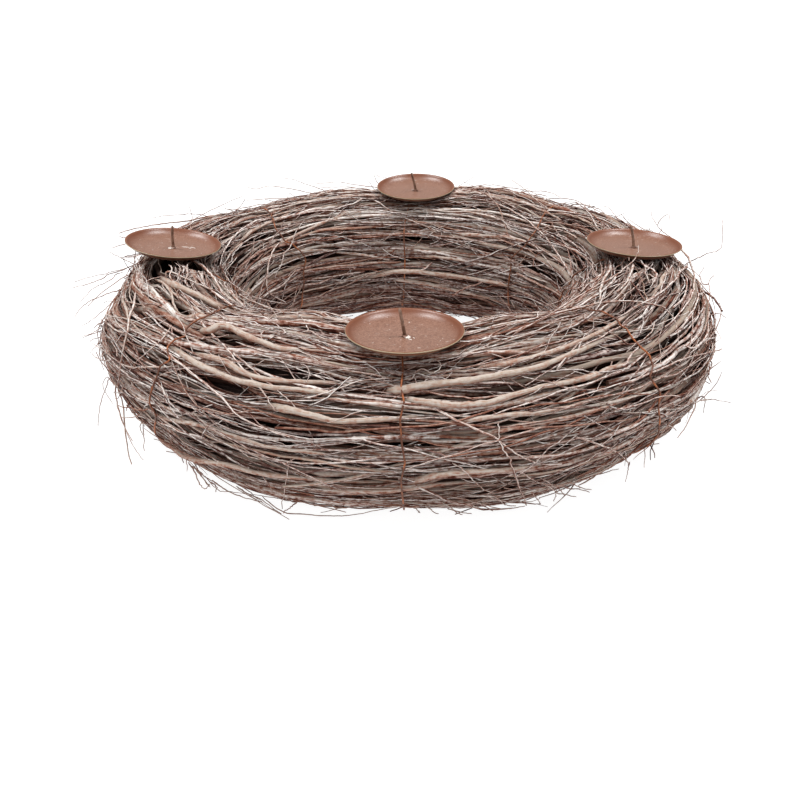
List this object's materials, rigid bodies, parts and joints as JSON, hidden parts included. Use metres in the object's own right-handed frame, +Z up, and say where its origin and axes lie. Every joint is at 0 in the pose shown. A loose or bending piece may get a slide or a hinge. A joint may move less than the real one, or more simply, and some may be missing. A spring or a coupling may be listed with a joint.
{
  "type": "candle wreath",
  "caption": "Round wreath of whitewashed brushwood bound with rusty wire, with spiked metal plates on its top that hold pillar candles",
  "frame": {"origin": "middle of the ring, on the surface that the wreath rests on", "axes": "+Z up along the ring's axis; -Y towards the pictured front, where the nearest candle plate stands; +X to the right"},
  "size_m": [0.416, 0.416, 0.1097],
  "materials": {
    "twigs": "matte",
    "core_twigs": "matte",
    "hoop_wire": "matte",
    "binding_wire": "matte",
    "plate_coat": "matte",
    "spike_steel": "satin",
    "weld_metal": "satin"
  },
  "bodies": {
    "wreath": {"twigs_top_1": "twigs", "twigs_top_2": "twigs", "twigs_top_3": "twigs", "twigs_inner_top_1": "twigs", "twigs_inner_top_2": "twigs", "twigs_inner_top_3": "twigs", "twigs_inner_high_1": "twigs", "twigs_inner_high_2": "twigs", "twigs_inner_high_3": "twigs", "twigs_inner_low_1": "twigs", "twigs_inner_low_2": "twigs", "twigs_inner_low_3": "twigs", "twigs_inner_foot_1": "twigs", "twigs_inner_foot_2": "twigs", "twigs_inner_foot_3": "twigs", "twigs_foot_1": "twigs", "twigs_foot_2": "twigs", "twigs_foot_3": "twigs", "twigs_outer_foot_1": "twigs", "twigs_outer_foot_2": "twigs", "twigs_outer_foot_3": "twigs", "twigs_outer_low_1": "twigs", "twigs_outer_low_2": "twigs", "twigs_outer_low_3": "twigs", "twigs_outer_high_1": "twigs", "twigs_outer_high_2": "twigs", "twigs_outer_high_3": "twigs", "twigs_outer_top_1": "twigs", "twigs_outer_top_2": "twigs", "twigs_outer_top_3": "twigs", "core_1": "core_twigs", "core_2": "core_twigs", "core_3": "core_twigs", "core_4": "core_twigs", "hoop": "hoop_wire", "binding_1": "binding_wire", "binding_2": "binding_wire", "binding_3": "binding_wire", "binding_4": "binding_wire", "binding_5": "binding_wire", "binding_6": "binding_wire", "binding_7": "binding_wire", "binding_8": "binding_wire"},
    "holder_front": {"plate_front": "plate_coat", "spike_front": "spike_steel", "weld_front": "weld_metal"},
    "holder_right": {"plate_right": "plate_coat", "spike_right": "spike_steel", "weld_right": "weld_metal"},
    "holder_back": {"plate_back": "plate_coat", "spike_back": "spike_steel", "weld_back": "weld_metal"},
    "holder_left": {"plate_left": "plate_coat", "spike_left": "spike_steel", "weld_left": "weld_metal"}
  },
  "joints": [
    {"name": "lift_front", "type": "slide", "parent": "wreath", "child": "holder_front", "axis": [0, 0, 1], "range_m": [0, 0.045]},
    {"name": "lift_right", "type": "slide", "parent": "wreath", "child": "holder_right", "axis": [0.0349, 0, 0.9994], "range_m": [0, 0.045]},
    {"name": "lift_back", "type": "slide", "parent": "wreath", "child": "holder_back", "axis": [-0.0061, -0.0869, 0.9962], "range_m": [0, 0.045]},
    {"name": "lift_left", "type": "slide", "parent": "wreath", "child": "holder_left", "axis": [0.1219, 0, 0.9925], "range_m": [0, 0.045]}
  ]
}
